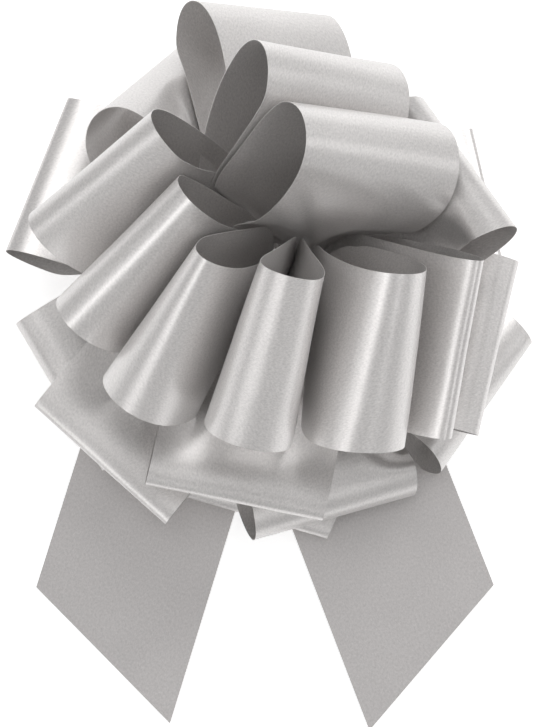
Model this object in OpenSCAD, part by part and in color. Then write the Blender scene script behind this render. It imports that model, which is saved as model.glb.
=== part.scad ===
// Pre-made gift bow of the pull kind: twenty loops and two cut tails of wide satin ribbon,
// gathered on two narrow pull strings that are knotted behind it.
// Millimetres. The origin is the foot of the pull strings, on the surface the bow lies on.
// +Z runs up the strings, away from the gift, and the two tails lie towards -Y.

/* [Ribbon] */
// Width of the wide satin ribbon
ribbon_w = 63.5; // [60:0.5:64]
// Thickness the ribbon is drawn with
ribbon_t = 0.3; // [0.2:0.05:0.35]

/* [Gathers] */
// Height of the lowest loop's gather above the surface
first_h = 6.5; // [6:0.5:8]
// Step from one gather to the next up the strings
gather_step = 2.3; // [2.2:0.1:2.5]
// Distance the strings lean to the right for each millimetre of height
lean = 0.13; // [0.1:0.01:0.15]
// Width of the narrow pull strings
string_w = 4.6; // [4:0.2:4.8]

/* [Tails] */
// Length of the tails from the strings to the middle of the cut
tail_len = 155; // [130:5:180]
// Angle of the diagonal cut from straight across
cut_angle = 28; // [0:1:45]

/* [Hidden] */
// Every loop from the lowest gather to the highest: azimuth, elevation, roll about its own
// length, length, half its height, and how far the tube sits along its width from its gather
loops = [
    [-110, 3, -2, 86, 5.5, 30],
    [-148, 8, -4, 87, 10, -3],
    [164, 21, 21, 89, 7, -15],
    [-73, 8, -13, 87, 5, -6],
    [-42, 8, -16, 87, 5, 15],
    [21, 3, -11, 88, 10, 6],
    [-14, 29, 0, 86, 5.5, -11],
    [-129, 16, 3, 94, 5, -2],
    [123, 9, 45, 83, 11.5, 4],
    [97, 10, 48, 91, 9, -4],
    [-96, 21, -8, 90, 5, -11],
    [35, 33, -31, 77, 9, -14],
    [-23, 48, 19, 89, 8, -12],
    [158, 50, -38, 94, 9, 9],
    [63, 39, 47, 83, 10, 24],
    [34, 49, 64, 84, 9, 27],
    [181, 61, -56, 82, 7.5, 15],
    [-142, 62, -75, 81, 6, 7],
    [-44, 59, 36, 85, 13, -12],
    [-99, 63, -99, 89, 11, 1]
];
// Angle step round a teardrop, and how sharply the teardrop narrows to its gather
turn_step = 10;
taper = 1.5;
// Largest value of the teardrop formula, which brings a half height of 1 to 1
peak = 0.702;
// Half the thickness of the two layers that a loop leaves its gather with
root_t = 0.3;
// Distance of a loop's root from the strings, and half the width it has there
root_r = 7.5;
root_half = 2.5;
// Distance over which the ribbon opens from its root to its full width
spread = 28;
// The eye that each gather makes around the strings
eye_r = 4.2;
eye_hole_r = 2.7;
eye_t = 0.8;
// Tails: azimuth, how far the tail sits to one side of the strings, which side of it is the
// longer one, and its heights at the strings and on the surface
tails = [
    [-107, -20, 1, 2.7, 0.1],
    [-69, 4, -1, 4.3, 0.8]
];
// Where a tail starts down from the strings, and where it reaches the surface
tail_bend_r = 8;
tail_foot_r = 22;
string_t = 0.3;
string_gap = 0.5;
string_foot = 2.1;
string_top = first_h + gather_step * (len(loops) - 1) + 2;
knot_len = 10;
knot_h = 2;
knot_turn = 35;

// Middle of the ribbon at angle k round a loop's teardrop outline
function drop(k, length, half) = [
    length * (1 - cos(k)) / 2,
    half / peak * sin(k) * pow(sin(k / 2), taper)
];

// The same point moved out of the teardrop by g
function moved(k, length, half, g) =
    let (d = drop(k + 1, length, half) - drop(k - 1, length, half))
    drop(k, length, half) + g * [-d.y, d.x] / norm(d);

// Height of the gather of loop i
function gather_h(i) = first_h + gather_step * i;

// The teardrop outline of a loop as a closed band one ribbon thick, with a solid root
module drop_band(length, half) {
    turns = [2 * turn_step : turn_step : 360 - 2 * turn_step];
    outer = concat(
        [[-1, -root_t], [-1, root_t]],
        [for (k = turns) moved(k, length, half, ribbon_t / 2)]
    );
    inner = [for (k = turns) moved(k, length, half, -ribbon_t / 2)];
    count = len(outer);
    polygon(
        concat(outer, inner),
        [[for (n = [0 : count - 1]) n], [for (n = [0 : len(inner) - 1]) count + n]]
    );
}

// The ribbon seen flat on: narrow at its root, full width from the end of the spread
module spread_outline(start, from, length, skew) {
    polygon([
        [start, -root_half],
        [from, -root_half],
        [spread, skew - ribbon_w / 2],
        [length + 2, skew - ribbon_w / 2],
        [length + 2, skew + ribbon_w / 2],
        [spread, skew + ribbon_w / 2],
        [from, root_half],
        [start, root_half]
    ]);
}

// A loop along +X with its width along Y
module tube(length, half, skew) {
    intersection() {
        rotate([90, 0, 0])
            linear_extrude(height = 4 * ribbon_w, center = true)
                drop_band(length, half);
        linear_extrude(height = 3 * half, center = true)
            spread_outline(-2, 2, length, skew);
    }
}

// The flat eye of a gather, with its tongue along +X
module eye(reach) {
    linear_extrude(height = eye_t, center = true)
        difference() {
            union() {
                circle(r = eye_r, $fn = 12);
                translate([0, -root_half])
                    square([reach, 2 * root_half]);
            }
            circle(r = eye_hole_r, $fn = 12);
        }
}

// Loop number n, counted up the strings from 1
module ribbon_loop(n) {
    p = loops[n - 1];
    h = gather_h(n - 1);
    color("silver")
        translate([lean * h, 0, h])
            rotate([0, 0, p[0]]) {
                eye(root_r + 0.6);
                translate([root_r, 0, 0])
                    rotate([0, -p[1], 0])
                        rotate([p[2], 0, 0])
                            tube(p[3], p[4], p[5]);
            }
}

// Tail i, from its eye down to the surface and along it to the diagonal cut
module ribbon_tail(i) {
    p = tails[i];
    up = ribbon_t;
    half = ribbon_w / 2;
    lift = p[3] - eye_t / 2;
    slant = p[2] * tan(cut_angle);
    end = tail_len + ribbon_w;
    translate([lean * p[3], 0, 0])
        rotate([0, 0, p[0]]) {
            translate([0, 0, p[3]])
                eye(tail_bend_r);
            intersection() {
                rotate([90, 0, 0])
                    linear_extrude(height = 4 * ribbon_w, center = true)
                        polygon([
                            [eye_hole_r + 1, lift],
                            [tail_bend_r, lift],
                            [tail_foot_r, p[4]],
                            [end, p[4]],
                            [end, p[4] + up],
                            [tail_foot_r, p[4] + up],
                            [tail_bend_r, lift + up],
                            [eye_hole_r + 1, lift + up]
                        ]);
                linear_extrude(height = 20)
                    polygon([
                        [eye_hole_r + 1, -root_half],
                        [tail_bend_r, -root_half],
                        [tail_bend_r + spread, p[1] - half],
                        [tail_len - slant * half, p[1] - half],
                        [tail_len + slant * half, p[1] + half],
                        [tail_bend_r + spread, p[1] + half],
                        [tail_bend_r, root_half],
                        [eye_hole_r + 1, root_half]
                    ]);
            }
        }
}

// A pull string in front of (side 1) or behind (side -1) the other, leaning with the stack
module pull_string(side) {
    middle = side * (string_gap + string_t) / 2;
    half = string_w / 2;
    low = lean * string_foot;
    high = lean * string_top;
    translate([0, middle + string_t / 2, 0])
        rotate([90, 0, 0])
            linear_extrude(height = string_t)
                polygon([
                    [low - half, string_foot],
                    [low + half, string_foot],
                    [high + half, string_top],
                    [high - half, string_top]
                ]);
}

module pull_string_a() {
    color("gainsboro") pull_string(1);
}

module pull_string_b() {
    color("gainsboro") pull_string(-1);
}

// The knot behind the bow: two turns of the strings crossing, pulled flat
module knot() {
    color("gainsboro")
        for (turn = [-knot_turn, knot_turn])
            rotate([0, 0, turn])
                rotate([90, 0, 0])
                    linear_extrude(height = string_w, center = true)
                        polygon([
                            [-knot_len / 2, knot_h / 2],
                            [-knot_len / 2 + knot_h / 2, 0],
                            [knot_len / 2 - knot_h / 2, 0],
                            [knot_len / 2, knot_h / 2],
                            [knot_len / 2 - knot_h / 2, knot_h],
                            [-knot_len / 2 + knot_h / 2, knot_h]
                        ]);
}

module tail_left() {
    color("silver") ribbon_tail(0);
}

module tail_right() {
    color("silver") ribbon_tail(1);
}

ribbon_loop(1);  // loop_01
ribbon_loop(2);  // loop_02
ribbon_loop(3);  // loop_03
ribbon_loop(4);  // loop_04
ribbon_loop(5);  // loop_05
ribbon_loop(6);  // loop_06
ribbon_loop(7);  // loop_07
ribbon_loop(8);  // loop_08
ribbon_loop(9);  // loop_09
ribbon_loop(10);  // loop_10
ribbon_loop(11);  // loop_11
ribbon_loop(12);  // loop_12
ribbon_loop(13);  // loop_13
ribbon_loop(14);  // loop_14
ribbon_loop(15);  // loop_15
ribbon_loop(16);  // loop_16
ribbon_loop(17);  // loop_17
ribbon_loop(18);  // loop_18
ribbon_loop(19);  // loop_19
ribbon_loop(20);  // loop_20
tail_left();
tail_right();
pull_string_a();
pull_string_b();
knot();
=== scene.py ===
import bpy
import bmesh
import math
import random
import numpy as np
from mathutils import Matrix, Vector
from mathutils.bvhtree import BVHTree


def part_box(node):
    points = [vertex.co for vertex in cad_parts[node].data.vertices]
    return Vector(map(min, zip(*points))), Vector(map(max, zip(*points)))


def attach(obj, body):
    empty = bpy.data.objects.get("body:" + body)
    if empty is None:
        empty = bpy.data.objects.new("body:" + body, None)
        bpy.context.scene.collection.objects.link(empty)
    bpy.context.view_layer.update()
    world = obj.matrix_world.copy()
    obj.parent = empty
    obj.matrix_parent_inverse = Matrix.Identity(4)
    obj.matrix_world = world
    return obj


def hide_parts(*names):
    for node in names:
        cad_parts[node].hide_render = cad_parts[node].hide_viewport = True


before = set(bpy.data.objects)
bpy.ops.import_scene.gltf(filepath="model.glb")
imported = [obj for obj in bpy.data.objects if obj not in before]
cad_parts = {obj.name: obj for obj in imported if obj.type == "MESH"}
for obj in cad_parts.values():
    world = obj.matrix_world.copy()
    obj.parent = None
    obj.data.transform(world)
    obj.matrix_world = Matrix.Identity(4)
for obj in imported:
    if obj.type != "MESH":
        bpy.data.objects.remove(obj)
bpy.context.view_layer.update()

MM = 0.001                  # metres in a millimetre
PER_M = 1000                # millimetres in a metre

# ---------------------------------------------------------------- the design's own numbers
# lengths are in millimetres and angles in degrees
LOOP_COUNT = 20
RIBBON_W = 63.5
FIRST_H = 6.5               # height of the lowest loop's gather
GATHER_STEP = 2.3           # from one gather up to the next
LEAN = 0.13                 # how far the stack of gathers leans to the right, per height
STRING_W = 4.6
TAIL_LEN = 155.0
CUT = 28                    # slant of a tail's cut end
ROOT_R = 7.5                # from the strings to the root of a loop
ROOT_HALF = 2.5             # half the gathered ribbon's width
SPREAD = 28.0               # length over which the gathered ribbon opens to its full width
TAPER = 1.5                 # how sharply a loop narrows to its gather
# azimuth, elevation, roll, length, half height, skew
CAD_LOOPS = [
    (-110, 3, -2, 86, 5.5, 30),
    (-148, 8, -4, 87, 10, -3),
    (164, 21, 21, 89, 7, -15),
    (-73, 8, -13, 87, 5, -6),
    (-42, 8, -16, 87, 5, 15),
    (21, 3, -11, 88, 10, 6),
    (-14, 29, 0, 86, 5.5, -11),
    (-129, 16, 3, 94, 5, -2),
    (123, 9, 45, 83, 11.5, 4),
    (97, 10, 48, 91, 9, -4),
    (-96, 21, -8, 90, 5, -11),
    (35, 33, -31, 77, 9, -14),
    (-23, 48, 19, 89, 8, -12),
    (158, 50, -38, 94, 9, 9),
    (63, 39, 47, 83, 10, 24),
    (34, 49, 64, 84, 9, 27),
    (181, 61, -56, 82, 7.5, 15),
    (-142, 62, -75, 81, 6, 7),
    (-44, 59, 36, 85, 13, -12),
    (-99, 63, -99, 89, 11, 1),
]
# the same loops as the satin shows them, fuller where nothing holds them: the same six, then how much
# its half height and its length change from one edge of the ribbon to the other
LOOPS = [
    (-113.5, 6, -0.7, 80, 6, 25.5, 0, -0.05),
    (-148.1, 8.1, -4.9, 86.7, 11.4, -2.9, 0, 0.003),
    (163.4, 18.8, 9, 91.3, 7.1, -7.6, 0.191, 0.036),
    (-73.6, 8.8, -13.9, 87.6, 13.2, -5.7, 0.04, -0.011),
    (-41.5, 7.8, -16.2, 84.1, 11.1, 14.1, -0.271, -0.05),
    (12.5, 10.1, -11.2, 75.2, 4, 6.1, 0, 0),
    (-17.8, 29.7, 4.7, 86.8, 10.1, -8.3, 0.006, -0.015),
    (-127.9, 14.8, -1.9, 94, 5.5, -6.2, 0.002, 0.021),
    (124.3, 9.1, 47.6, 81, 16.9, 5.6, 0.049, -0.046),
    (98.6, 12, 38.2, 89.7, 12.5, -7.8, 0.117, 0.056),
    (-100.9, 24.4, -6.3, 90.2, 7.6, -0.5, 0.017, -0.017),
    (30.1, 39.6, -20.9, 81.6, 10.4, -6.2, 0.041, -0.11),
    (-25.9, 47.6, 27.8, 89.1, 7.5, -9.6, -0.049, 0.044),
    (157.3, 52.5, -48.8, 93.4, 11, 9.6, -0.033, -0.065),
    (64.4, 40.3, 47.1, 83.3, 13.9, 18.9, -0.092, 0.06),
    (35.6, 53.4, 61.6, 81.6, 16.8, 17.2, -0.031, 0.018),
    (178.6, 62.3, -53.2, 81.9, 12.2, 15.4, 0.036, -0.046),
    (-144, 62.3, -71.6, 83.7, 12.7, 10.7, 0.266, -0.048),
    (-44.2, 62.3, 43.3, 83.2, 15.2, -14.3, -0.078, 0.084),
    (-99.7, 68, -95.2, 88.1, 12.9, 7.6, 0.181, -0.08),
]
# loops that narrow to their gather more sharply than the others: one edge, other edge
EDGE_TAPERS = {20: (5.0, 2.4), 19: (2.4, 1.5)}
# the left and the right tail: azimuth, sideways shift, long side, height at the strings and further out
TAILS = [(-107, -20, 1, 2.7, 0.1), (-69, 4, -1, 4.3, 0.8)]

# ---------------------------------------------------------------- how the loops settle
# roughly from the top of the bow down, with the lowest right loop last
SETTLE_ORDER = (20, 19, 14, 18, 17, 16, 15, 13, 9, 10, 11, 12, 7, 3, 8, 2, 4, 5, 1, 6)
SETTLE_GOALS = (0.25, 0.5, 0.75, 1.0, 1.0)
GAP = 1.7                   # clearance kept between two ribbons
NEAR = 12                   # ribbons whose boxes are further apart can't meet in one step
# two loops that tuck into each other at their gathers
TUCKED = [{14, 15}]
# a loop that starts lower than the design's, squeezed flat under its neighbours
SQUEEZED = {12: (28, 31.5, -20.2, 77.1, 4.5, -3, -0.67, -0.066)}

# ---------------------------------------------------------------- grids and thicknesses
LOOP_ACROSS, LOOP_ALONG = 21, 97
TAIL_ACROSS, TAIL_ALONG = 25, 81
STRING_ACROSS, STRING_ALONG = 9, 61
TURN_ALONG = 65
SATIN_THICK = 0.16
GATHER_THICK = 0.2
KNOT_THICK = 0.2
STRING_THICK = 0.22


def clamp(t):
    """t kept from 0 to 1."""
    return min(1.0, max(0.0, t))


def settled(t, sharpness=8.0):
    """Rises along t and settles at 1."""
    if t <= 0:
        return 0.0
    return t / (1 + t ** sharpness) ** (1 / sharpness)


def across(i, count):
    """Place of point i of count across a ribbon, from -1 at one edge to 1 at the other."""
    return 2 * i / (count - 1) - 1


# ---------------------------------------------------------------- materials
def new_material(name):
    mat = bpy.data.materials.new(name)
    mat.use_nodes = True
    tree = mat.node_tree
    tree.nodes.clear()
    out = tree.nodes.new("ShaderNodeOutputMaterial")
    surface = tree.nodes.new("ShaderNodeBsdfPrincipled")
    tree.links.new(surface.outputs["BSDF"], out.inputs["Surface"])
    return mat, tree, surface


def add_node(tree, kind, **values):
    """A shader node with the values of its inputs, _ standing for the space in an input's name."""
    node = tree.nodes.new("ShaderNode" + kind)
    for key, value in values.items():
        node.inputs[key.replace("_", " ")].default_value = value
    return node


def remap(tree, source, **limits):
    """The source socket's range From_Min to From_Max taken to the range To_Min to To_Max."""
    node = add_node(tree, "MapRange", **limits)
    tree.links.new(source, node.inputs["Value"])
    return node.outputs["Result"]


def calculate(tree, operation, *terms):
    """A math node; each term is a socket or a number."""
    node = tree.nodes.new("ShaderNodeMath")
    node.operation = operation
    for socket, term in zip(node.inputs, terms):
        if isinstance(term, bpy.types.NodeSocket):
            tree.links.new(term, socket)
        else:
            socket.default_value = term
    return node.outputs[0]


def add_bump(tree, height, strength, distance):
    node = add_node(tree, "Bump", Strength=strength, Distance=distance)
    tree.links.new(height, node.inputs["Height"])
    return node


def satin(name, base, seed, grain=1.0):
    """Satin ribbon: a fine mottled weave running along it, with a soft drift in its colour."""
    mat, tree, surface = new_material(name)
    uv = tree.nodes.new("ShaderNodeUVMap")
    uv.uv_map = "Ribbon"

    def mapped(stretch, offset):
        """The ribbon's own place, across it and along it, stretched along it."""
        place = add_node(tree, "Mapping", Scale=(1, stretch, 1), Location=(offset, offset * 0.7, seed))
        tree.links.new(uv.outputs["UV"], place.inputs["Vector"])
        return place.outputs["Vector"]

    def noise(place, scale, detail, roughness):
        node = add_node(tree, "TexNoise", Scale=scale, Detail=detail, Roughness=roughness)
        tree.links.new(place, node.inputs["Vector"])
        return node.outputs["Fac"]

    # the pattern's unit is a metre: fibres of about half a millimetre, mottling of a few, a wide drift
    fibre = noise(mapped(0.45, 3.1), 2600, 2.0, 0.6)
    mottle = noise(mapped(0.8, 5.7), 1100, 3.0, 0.65)
    drift = noise(mapped(0.5, 9.3), 34, 2.0, 0.5)
    weave = add_node(tree, "TexWave", Scale=900, Distortion=1.2, Detail=1.0)
    weave.wave_type = "BANDS"
    weave.bands_direction = "X"
    tree.links.new(mapped(1, 0.4), weave.inputs["Vector"])

    def shade(source, amount):
        return remap(tree, source, From_Min=0.3, From_Max=0.7, To_Min=-amount, To_Max=amount)

    tone = calculate(tree, "ADD", shade(fibre, 0.06 * grain), shade(mottle, 0.07 * grain))
    tone = calculate(tree, "ADD", tone, shade(drift, 0.03))
    tone = calculate(tree, "ADD", tone, 1.0)
    colour = tree.nodes.new("ShaderNodeVectorMath")
    colour.operation = "SCALE"
    colour.inputs[0].default_value = base
    tree.links.new(tone, colour.inputs["Scale"])
    tree.links.new(colour.outputs["Vector"], surface.inputs["Base Color"])

    rough = remap(tree, mottle, From_Min=0.25, From_Max=0.75, To_Min=0.31, To_Max=0.39)
    tree.links.new(rough, surface.inputs["Roughness"])
    surface.inputs["Metallic"].default_value = 0.5
    surface.inputs["Specular IOR Level"].default_value = 0.5
    surface.inputs["Sheen Weight"].default_value = 0.12
    surface.inputs["Sheen Roughness"].default_value = 0.4

    relief = calculate(tree, "MULTIPLY_ADD", fibre, 0.5, weave.outputs["Fac"])
    threads = add_bump(tree, relief, 0.10, 0.08 * MM)
    waves = add_bump(tree, noise(mapped(0.8, 1.9), 90, 1.0, 0.4), 0.10, 1.2 * MM)
    tree.links.new(threads.outputs["Normal"], waves.inputs["Normal"])
    tree.links.new(waves.outputs["Normal"], surface.inputs["Normal"])
    return mat


SATIN = satin("satin_ribbon", (0.70, 0.68, 0.67), 1.0, 1.5)
# the tails are cut from the same ribbon as the loops: this darker copy of its colour is painted shade,
# as the flat tails take more lamp light than the rounded loops
TAIL_SATIN_PAINTED_SHADE = satin("satin_ribbon_tail_painted_shade", (0.55, 0.53, 0.525), 4.0, 1.3)
EDGE = satin("satin_ribbon_edge", (0.70, 0.68, 0.665), 2.0, 0.5)
STRING = satin("string_ribbon", (0.50, 0.49, 0.475), 3.0, 1.2)


# ---------------------------------------------------------------- meshes
def quads(nu, nv, base=0):
    """Faces of a grid, nu points across and nv along, whose first point has the number base."""
    return [
        (base + j * nu + i, base + j * nu + i + 1, base + (j + 1) * nu + i + 1, base + (j + 1) * nu + i)
        for j in range(nv - 1) for i in range(nu - 1)
    ]


def sharpen_rim(me):
    """The cut edge keeps a crisp border to both faces of the ribbon."""
    rim = {p.index for p in me.polygons if p.material_index == 1}
    count = {}
    for p in me.polygons:
        p.use_smooth = True
        for key in p.edge_keys:
            count.setdefault(key, []).append(p.index in rim)
    for ed in me.edges:
        sides = count.get(tuple(sorted(ed.vertices)), [])
        ed.use_edge_sharp = len(sides) == 2 and sides[0] != sides[1]


def apply_modifiers(ob):
    deps = bpy.context.evaluated_depsgraph_get()
    me = bpy.data.meshes.new_from_object(ob.evaluated_get(deps))
    old = ob.data
    ob.modifiers.clear()
    ob.data = me
    me.name = ob.name
    bpy.data.meshes.remove(old)


def grid_piece(name, pos, nu, nv, uvs, mats, thick, body, nodes):
    """A sheet from a grid of points, nu across and nv along, given its thickness.

    Its faces have the first of mats and its cut edge the second."""
    me = bpy.data.meshes.new(name)
    me.from_pydata([tuple(c * MM for c in p) for p in pos], [], quads(nu, nv))
    layer = me.uv_layers.new(name="Ribbon")
    for poly in me.polygons:
        for li in poly.loop_indices:
            vi = me.loops[li].vertex_index
            layer.data[li].uv = (uvs[vi][0] * MM, uvs[vi][1] * MM)
        poly.use_smooth = True
    me.update()
    ob = bpy.data.objects.new(name, me)
    bpy.context.scene.collection.objects.link(ob)
    for m in mats:
        me.materials.append(m)
    solid = ob.modifiers.new("Thickness", "SOLIDIFY")
    solid.thickness = thick * MM
    solid.offset = 0
    solid.use_even_offset = True
    solid.use_rim = True
    solid.material_offset_rim = 1
    apply_modifiers(ob)
    sharpen_rim(ob.data)
    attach(ob, body)
    if nodes:
        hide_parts(*nodes)
    return ob


# ---------------------------------------------------------------- loops
def gather_height(n):
    return FIRST_H + GATHER_STEP * (n - 1)


def peak_of(taper):
    """Largest value of sin(k) sin(k/2)^taper."""
    c2 = 1 / (taper + 2)
    return 2 * math.sqrt(c2) * math.sqrt(1 - c2) ** (taper + 1)


def loop_points(row, z0, tapers, seed):
    """Points of one loop, LOOP_ALONG round it by LOOP_ACROSS across the ribbon."""
    az, el, roll, length, half, skew, cone, stretch = (*row, 0, 0)[:8]
    first_turn = 11          # the loop leaves its gather here and comes back as far before a full turn
    skew_from, skew_over = 2, 26.0
    pleat_at, pleat_reach, pleat_h, pleats = 5, 15.0, 0.9, 3.5
    rnd = random.Random(seed)
    phase = [rnd.uniform(0, 2 * math.pi) for _ in range(3)]
    place = (
        Matrix.Translation((LEAN * z0, 0, z0))
        @ Matrix.Rotation(math.radians(az), 4, "Z")
        @ Matrix.Translation((ROOT_R, 0, 0))
        @ Matrix.Rotation(-math.radians(el), 4, "Y")
        @ Matrix.Rotation(math.radians(roll), 4, "X")
    )
    pos = np.zeros((LOOP_ALONG, LOOP_ACROSS, 3))
    for j in range(LOOP_ALONG):
        turn = math.radians(first_turn + (360 - 2 * first_turn) * j / (LOOP_ALONG - 1))
        for i in range(LOOP_ACROSS):
            s = across(i, LOOP_ACROSS)
            reach = length * (1 + stretch * s)
            a = reach * (1 - math.cos(turn)) / 2
            taper = TAPER + (tapers[1] - TAPER) * (1 + s) / 2 + (tapers[0] - TAPER) * (1 - s) / 2
            swell = math.sin(turn) * math.sin(turn / 2) ** taper / peak_of(taper)
            z = half * (1 + cone * s) * swell
            opened = settled((a - 1.0) / (SPREAD - 2))
            y = s * (ROOT_HALF + (RIBBON_W / 2 - ROOT_HALF) * opened)
            y += skew * clamp((a - skew_from) / skew_over)
            # pleats where the ribbon is gathered, the same in both layers
            fade = math.exp(-(((a - pleat_at) / pleat_reach) ** 2)) if a > pleat_at else a / pleat_at
            z += pleat_h * fade * math.cos(math.pi * pleats * s + phase[0] * 0.5)
            # soft unevenness of thin ribbon, more towards its edges
            along = a / reach
            slow = 0.35 * math.sin(2.3 * along * math.pi + phase[1] + 1.3 * s) * (0.3 + 0.7 * abs(s))
            fast = 0.18 * math.sin(5.1 * along * math.pi + phase[2] + 2.2 * s)
            z += (slow + fast) * min(1, along * 2)
            pos[j, i] = place @ Vector((a, y, z))
    return pos


def neighbour_pass(field, keep_lowest):
    """One pass over a grid: each value's lowest neighbour, or a soft average."""
    pad = np.pad(field, 1, mode="edge")
    nine = [pad[a:a + field.shape[0], b:b + field.shape[1]] for a in range(3) for b in range(3)]
    if keep_lowest:
        return np.minimum.reduce(nine)
    weights = (1, 2, 1, 2, 4, 2, 1, 2, 1)
    return sum(w * v for w, v in zip(weights, nine)) / sum(weights)


def obstacles(now, n, tails):
    """A search tree of both tails and of the loops that loop n could meet."""
    lo, hi = now[n - 1].min((0, 1)) - NEAR, now[n - 1].max((0, 1)) + NEAR
    pts, faces = [], []
    for m, other in enumerate(now, 1):
        apart = (other.min((0, 1)) > hi).any() or (other.max((0, 1)) < lo).any()
        if m == n or {m, n} in TUCKED or apart:
            continue
        faces += quads(LOOP_ACROSS, LOOP_ALONG, len(pts))
        pts += other.reshape(-1, 3).tolist()
    for tail in tails:
        faces += quads(TAIL_ACROSS, TAIL_ALONG, len(pts))
        pts += tail
    return BVHTree.FromPolygons(pts, faces)


def free_share(tree, now, step, share, goal):
    """How much of its way to the goal each point of a loop can go before it meets something."""
    reach = np.full(share.shape, float(goal))
    for j, i in np.ndindex(share.shape):
        left = goal - share[j, i]
        way = Vector(step[j, i] * left)
        dist = way.length
        if dist < 1e-4:
            continue
        hit = tree.ray_cast(Vector(now[j, i]), way / dist, dist + GAP)
        if hit[0] is not None:
            reach[j, i] = share[j, i] + left * max(0.0, hit[3] - GAP) / dist
    return reach


def settle_loops():
    """The loops fill out from the design's slim shapes towards their full ones, each as far as its
    neighbours let it, so that the ribbons press on one another and don't cut through."""
    slim, full = [], []
    for n in range(1, LOOP_COUNT + 1):
        z0 = gather_height(n)
        slim.append(loop_points(SQUEEZED.get(n, CAD_LOOPS[n - 1]), z0, (TAPER, TAPER), n))
        full.append(loop_points(LOOPS[n - 1], z0, EDGE_TAPERS.get(n, (TAPER, TAPER)), n))
    share = [np.zeros((LOOP_ALONG, LOOP_ACROSS)) for _ in slim]
    now = [p.copy() for p in slim]
    tails = [tail_points(i)[0] for i in range(2)]
    for goal in SETTLE_GOALS:
        for n in SETTLE_ORDER:
            k = n - 1
            step = full[k] - slim[k]
            reach = free_share(obstacles(now, n, tails), now[k], step, share[k], goal)
            low = reach
            for keep_lowest in (True, True, False, False, False):
                low = neighbour_pass(low, keep_lowest)
            share[k] = np.maximum(share[k], np.minimum(low, reach))
            now[k] = slim[k] + step * share[k][:, :, None]
    return now


def make_loop(n, pos):
    name = "loop_%02d" % n
    steps = np.linalg.norm(np.diff(pos, axis=0), axis=2)
    arc = np.vstack([np.zeros((1, LOOP_ACROSS)), np.cumsum(steps, axis=0)])
    # each loop takes another part of the satin's pattern
    uvs = [
        (across(i, LOOP_ACROSS) * RIBBON_W / 2 + 71 * n, arc[j, i] + 13 * n)
        for j in range(LOOP_ALONG) for i in range(LOOP_ACROSS)
    ]
    ob = grid_piece(
        name + "_satin", pos.reshape(-1, 3).tolist(), LOOP_ACROSS, LOOP_ALONG, uvs, [SATIN, EDGE],
        SATIN_THICK, name + "_body", [name],
    )


def make_gather(n):
    """The pleated collar of ribbon round the strings, with a tongue that runs into its loop."""
    name = "loop_%02d" % n
    z0 = gather_height(n)
    az = math.radians(LOOPS[n - 1][0])
    inner, outer, tongue_len, pleat_h, pleats = 2.75, 4.3, 3.9, 0.32, 12
    rings, steps = 4, 49
    pos, uvs = [], []
    for ring in range(rings):
        out = ring / (rings - 1)
        r = inner + (outer - inner) * ring / (rings - 1)
        for step in range(steps):
            th = 2 * math.pi * step / (steps - 1)
            reach = r + tongue_len * max(0.0, math.cos(th)) ** 24 * out
            z = z0 + pleat_h * math.cos(pleats * th) * (1 - 0.5 * out)
            pos.append((LEAN * z0 + reach * math.cos(th + az), reach * math.sin(th + az), z))
            uvs.append((r * 3 + 71 * n, th * 4 + 5 * n))
    grid_piece(
        name + "_gather", pos, steps, rings, uvs, [SATIN, EDGE],
        GATHER_THICK, name + "_body", [],
    )


# ---------------------------------------------------------------- tails
def tail_points(i):
    """Points of one tail and their places on the flat ribbon."""
    az, side, long_side, h0, h1 = TAILS[i]
    az = math.radians(az)
    slant = long_side * math.tan(math.radians(CUT))
    start = 3.4              # from the strings to the tail's gathered end
    neck = 7                 # where the tail starts to open and to come down
    pleat_at, pleat_reach = 14, 12.0
    lowest = 0.25            # the ribbon's middle stays this high above the floor
    pos, uvs = [], []
    for j in range(TAIL_ALONG):
        q = j / (TAIL_ALONG - 1)
        for k in range(TAIL_ACROSS):
            s = across(k, TAIL_ACROSS)
            end = TAIL_LEN + slant * s * RIBBON_W / 2
            x = start + (end - start) * q
            opened = settled((x - neck) / (SPREAD - 1))
            y = s * (ROOT_HALF + (RIBBON_W / 2 - ROOT_HALF) * opened) + side * clamp((x - neck) / 28.0)
            drop = clamp((x - neck) / 16.0)
            z = h0 + (h1 - h0) * drop * drop * (3 - 2 * drop)
            # pleats at the gathered end
            fade = math.exp(-(((x - pleat_at) / pleat_reach) ** 2)) if x > pleat_at else x / pleat_at
            pleat = 0.6 + 0.6 * math.cos(math.pi * 3.2 * s + 1.1 * i)
            z += 0.8 * fade * pleat * (1 if x > 9 else 0.3)
            # a slight wave further out, and a corner or an edge that lifts off the floor
            far = max(0.0, (x - 40) / 115.0)
            if i == 0:
                z += 0.35 * math.sin(3.0 * far + 1.5 * s) ** 2
                z += 0.5 * max(0, far - 0.8) * (1 + s)
            else:
                z += 0.4 * math.sin(3.4 * far + 1.1 * s + 1) ** 2
                z += 2.6 * max(0.0, s - 0.55) ** 1.5 * min(1, far * 1.6)
            x_out = x * math.cos(az) - y * math.sin(az)
            y_out = x * math.sin(az) + y * math.cos(az)
            pos.append((LEAN * h0 + x_out, y_out, max(z, lowest)))
            uvs.append((s * RIBBON_W / 2 + 400 * (i + 1), x))
    return pos, uvs


def make_tail(i):
    name = ("tail_left", "tail_right")[i]
    pos, uvs = tail_points(i)
    # the tail's faces take the darker copy of the satin, painted shade
    ob = grid_piece(
        name + "_satin", pos, TAIL_ACROSS, TAIL_ALONG, uvs, [TAIL_SATIN_PAINTED_SHADE, EDGE],
        SATIN_THICK, name + "_body", [name],
    )


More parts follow.
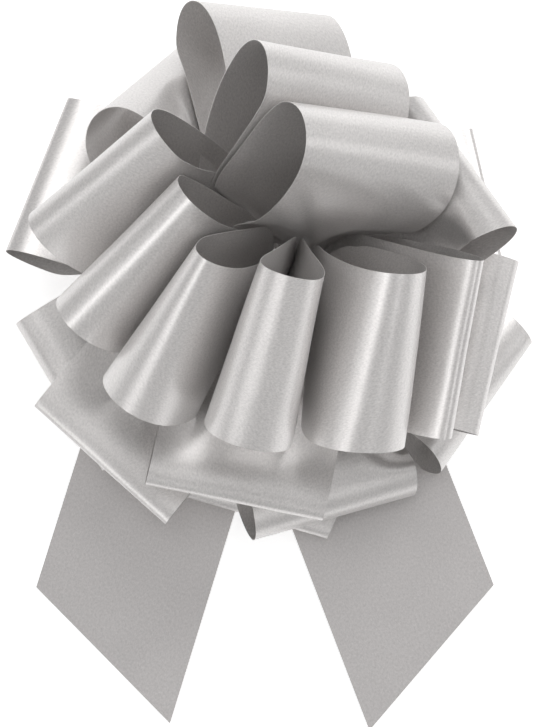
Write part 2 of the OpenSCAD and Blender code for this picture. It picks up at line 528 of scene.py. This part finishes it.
# ---------------------------------------------------------------- strings and knot
def make_string(side, name, node):
    """A narrow flat string with fine ribs and a slight wave, leaning with the stack."""
    lo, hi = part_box(node)
    y0 = PER_M * (lo.y + hi.y) / 2
    under_top = 1.2          # the string ends this far below the design's, inside the top gather
    z_lo, z_hi = PER_M * lo.z, PER_M * hi.z - under_top
    pos, uvs = [], []
    for j in range(STRING_ALONG):
        z = z_lo + (z_hi - z_lo) * j / (STRING_ALONG - 1)
        for k in range(STRING_ACROSS):
            s = across(k, STRING_ACROSS)
            x = LEAN * z + s * STRING_W / 2 * (1 - 0.03 * (1 + math.sin(z * 0.9 + side)))
            y = y0 + 0.05 * math.sin(z * 1.366 + side) + 0.04 * math.cos(math.pi * 4 * s)
            pos.append((x, y, z))
            uvs.append((s * STRING_W / 2 + 20 * side, z))
    grid_piece(
        name, pos, STRING_ACROSS, STRING_ALONG, uvs, [STRING, EDGE],
        STRING_THICK, "strings", [node],
    )


def make_turn(name, t, nodes):
    """One flat closed turn of string, pinched where the two turns of the knot cross."""
    half_len, mid_h, half_h = 4.72, 1.0, 0.84
    lowest, highest = 0.13, 1.9
    turned = math.radians((-35, 35)[t])
    over = (-0.12, 0.12)[t]
    pos, uvs = [], []
    for j in range(TURN_ALONG):
        q = 2 * math.pi * j / (TURN_ALONG - 1)
        x = half_len * math.copysign(abs(math.cos(q)) ** 0.55, math.cos(q))
        mid = mid_h + half_h * math.copysign(abs(math.sin(q)) ** 0.8, math.sin(q))
        mid += over * math.exp(-(x / 2.6) ** 2) * (1 if mid > mid_h else -1)
        for k in range(STRING_ACROSS):
            s = across(k, STRING_ACROSS)
            y = s * STRING_W / 2 * (1 - 0.16 * math.exp(-(x / 2.2) ** 2))
            z = min(max(mid + 0.05 * math.cos(math.pi * 3 * s), lowest), highest)
            x_out = x * math.cos(turned) - y * math.sin(turned)
            y_out = x * math.sin(turned) + y * math.cos(turned)
            pos.append((x_out, y_out, z))
            uvs.append((s * STRING_W / 2 + 40 * t, q * 4))
    grid_piece(
        name, pos, STRING_ACROSS, TURN_ALONG, uvs, [STRING, EDGE],
        KNOT_THICK, "strings", nodes,
    )


LOOP_SHAPES = settle_loops()
make_turn("knot_turns", 0, ["knot"])
make_turn("knot_turn_2", 1, [])
make_string(1, "pull_string_front", "pull_string_a")
make_string(-1, "pull_string_back", "pull_string_b")
for n in range(1, LOOP_COUNT + 1):
    make_loop(n, LOOP_SHAPES[n - 1])
    make_gather(n)
for i in range(2):
    make_tail(i)


# ---------------------------------------------------------------- floor
def make_floor():
    """A plain pale floor, just under the bow."""
    me = bpy.data.meshes.new("floor")
    grid = bmesh.new()
    bmesh.ops.create_grid(grid, x_segments=8, y_segments=8, size=3.0)
    grid.to_mesh(me)
    grid.free()
    ob = bpy.data.objects.new("floor", me)
    ob.location = (0, 0, -0.2 * MM)
    bpy.context.scene.collection.objects.link(ob)
    mat, tree, surface = new_material("pale_floor")
    speckle = add_node(tree, "TexNoise", Scale=40)
    tone = remap(tree, speckle.outputs["Fac"], To_Min=0.93, To_Max=0.97)
    grey = tree.nodes.new("ShaderNodeCombineColor")
    for channel in ("Red", "Green", "Blue"):
        tree.links.new(tone, grey.inputs[channel])
    tree.links.new(grey.outputs["Color"], surface.inputs["Base Color"])
    surface.inputs["Roughness"].default_value = 0.9
    surface.inputs["Emission Color"].default_value = (1, 1, 1, 1)
    surface.inputs["Emission Strength"].default_value = 0.42
    me.materials.append(mat)


make_floor()

# ---------------------------------------------------------------- light
world = bpy.data.worlds.new("studio")
world.use_nodes = True
sky = world.node_tree.nodes["Background"]
sky.inputs["Color"].default_value = (1, 1, 1, 1)
sky.inputs["Strength"].default_value = 0.36
bpy.context.scene.world = world

# soft lamps all round: degrees away from straight above, degrees round from +X, power, size in metres
LAMPS = {
    "upper_right": (45, 45, 3.3, 0.32),
    "lower_left": (45, -125, 1.5, 0.32),
    "upper": (32, 90, 2.7, 0.42),
    "left": (35, 180, 1.1, 0.32),
    "lower_right": (45, -55, 0.8, 0.32),
    "overhead": (0, 0, 0.6, 0.42),
    "right_low": (62, 0, 0.6, 0.42),
    "right": (35, 0, 0.4, 0.42),
    "left_low": (62, -140, 0.7, 0.42),
}
LAMP_DISTANCE = 1.2
LAMP_TARGET = Vector((0, 0, 0.05))


def make_lamp(name, lean, turn, power, size):
    """A square soft lamp that looks at the bow."""
    lean, turn = math.radians(lean), math.radians(turn)
    spot = LAMP_DISTANCE * Vector(
        (math.sin(lean) * math.cos(turn), math.sin(lean) * math.sin(turn), math.cos(lean))
    )
    lamp = bpy.data.lights.new(name, "AREA")
    lamp.energy = power
    lamp.size = size
    ob = bpy.data.objects.new(name, lamp)
    ob.location = spot
    ob.rotation_euler = (LAMP_TARGET - spot).to_track_quat("-Z", "Y").to_euler()
    bpy.context.scene.collection.objects.link(ob)


for lamp_name, lamp_values in LAMPS.items():
    make_lamp(lamp_name, *lamp_values)

# ---------------------------------------------------------------- camera
CAMERA_RISE = math.radians(83.5)     # above the floor, as seen from the tails' side
CAMERA_FROM_BOW = 836.4
CAMERA_SHIFT = (-2.39, -31.56)       # sideways and upwards in the picture
back_way = Vector((0, -math.cos(CAMERA_RISE), math.sin(CAMERA_RISE)))
up_way = Vector((0, math.sin(CAMERA_RISE), math.cos(CAMERA_RISE)))
right_way = Vector((1, 0, 0))
camera = bpy.data.cameras.new("camera")
camera.sensor_fit = "VERTICAL"
camera.sensor_height = 36
camera.lens = 107.7
camera.clip_start = 0.01
camera_ob = bpy.data.objects.new("camera", camera)
camera_ob.location = MM * (
    right_way * CAMERA_SHIFT[0] + up_way * CAMERA_SHIFT[1] + back_way * CAMERA_FROM_BOW
)
camera_ob.rotation_euler = Matrix((right_way, up_way, back_way)).transposed().to_euler()
bpy.context.scene.collection.objects.link(camera_ob)
bpy.context.scene.camera = camera_ob

bpy.context.scene.view_settings.view_transform = "Standard"
